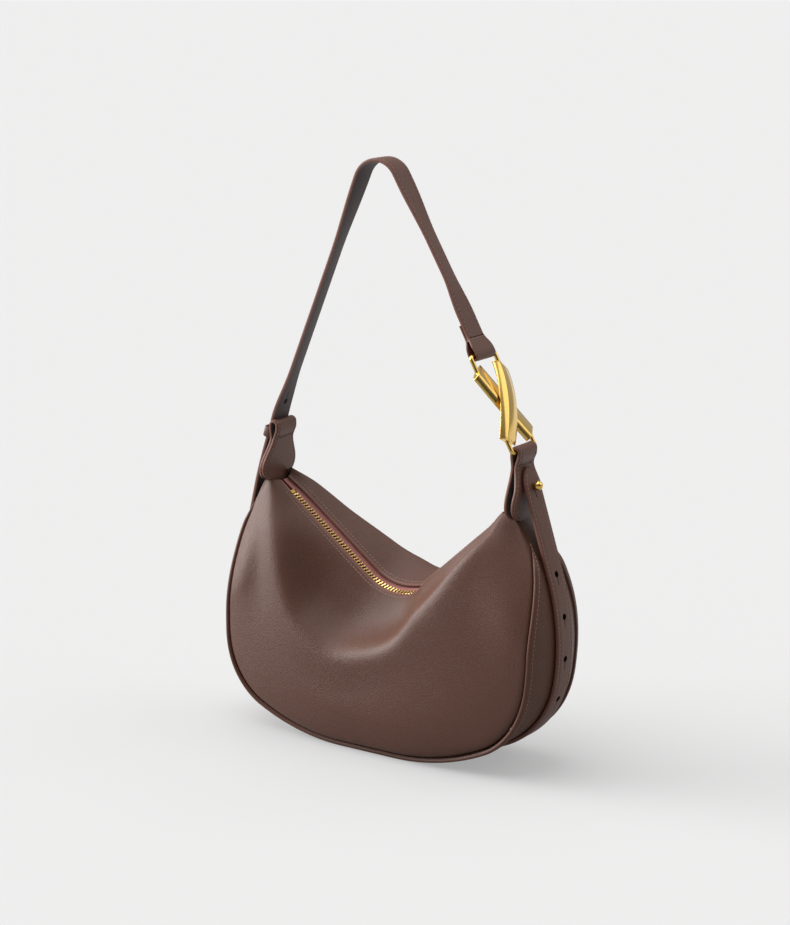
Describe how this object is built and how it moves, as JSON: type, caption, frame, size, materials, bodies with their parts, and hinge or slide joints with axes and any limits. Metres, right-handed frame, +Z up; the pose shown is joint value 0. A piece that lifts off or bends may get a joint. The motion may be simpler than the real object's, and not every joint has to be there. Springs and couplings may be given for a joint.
{
  "type": "half moon shoulder bag",
  "caption": "Slouched half moon leather shoulder bag with a sagging zip mouth, a belt round its gusset as strap, and a crossed-bar buckle.",
  "frame": {"origin": "middle of the base, on the surface the bag stands on", "axes": "+Z up, +X along the bag towards the buckle, -Y towards the front panel"},
  "size_m": [0.2988, 0.0848, 0.4443],
  "materials": {
    "body_leather": "soft satin, fine pebble grain",
    "welt_leather": "folded edge, stitched",
    "strap_leather": "fine grain, painted edges",
    "strap_lining": "matt flesh side",
    "lining_cloth": "plain weave",
    "zip_tape": "woven tape",
    "gold_metal": "polished light gold plate"
  },
  "bodies": {
    "bag": {"back_lining": "lining_cloth", "back_panel": "body_leather", "back_welt": "welt_leather", "belt_lining": "strap_lining", "belt_outer": "strap_leather", "front_lining": "lining_cloth", "front_panel": "body_leather", "front_welt": "welt_leather", "gusset": "body_leather", "gusset_lining": "lining_cloth", "left_tab_foot": "strap_leather", "right_tab_foot": "strap_leather", "zip_bottom_stop": "gold_metal", "zip_tape_back": "zip_tape", "zip_tape_front": "zip_tape", "zip_teeth_back": "gold_metal", "zip_teeth_front": "gold_metal", "zip_top_stops": "gold_metal"},
    "handle": {"belt_tip_lining": "strap_lining", "belt_tip_outer": "strap_leather", "left_tab_loop": "strap_leather", "right_tab_loop": "strap_leather", "shoulder_strap_lining": "strap_lining", "shoulder_strap_outer": "strap_leather", "strap_keeper": "strap_leather", "stud": "gold_metal", "stud_screw": "gold_metal"},
    "buckle": {"buckle_back_bar": "gold_metal", "buckle_front_bar": "gold_metal", "buckle_lower_loop": "gold_metal", "buckle_upper_loop": "gold_metal"},
    "strap_drop": {"strap_drop_lining": "strap_lining", "strap_drop_outer": "strap_leather"},
    "zip_slider": {"zip_slider": "gold_metal"},
    "zip_pull": {"zip_pull": "gold_metal"}
  },
  "joints": [
    {"name": "handle_swing", "type": "hinge", "parent": "bag", "child": "handle", "pos_m": [0, 0, 0.19], "axis": [1, 0, 0], "range_deg": [-60, 60]},
    {"name": "buckle_swing", "type": "hinge", "parent": "handle", "child": "buckle", "pos_m": [0.11152, 0, 0.24071], "axis": [0, 1, 0], "range_deg": [-6, 6]},
    {"name": "strap_flex", "type": "hinge", "parent": "handle", "child": "strap_drop", "pos_m": [0.01218, 0, 0.42632], "axis": [0, 1, 0], "range_deg": [-3.31, 3.31]},
    {"name": "zip_slide", "type": "slide", "parent": "bag", "child": "zip_slider", "axis": [-0.7474, 0, -0.6644], "range_m": [0, 0.06]},
    {"name": "zip_pull_flip", "type": "hinge", "parent": "zip_slider", "child": "zip_pull", "pos_m": [0.08598, 0, 0.17853], "axis": [0, 1, 0], "range_deg": [0, 140]}
  ],
  "couplings": [
    {"joint": "strap_flex", "follows": "buckle_swing", "ratio": -0.55113}
  ]
}
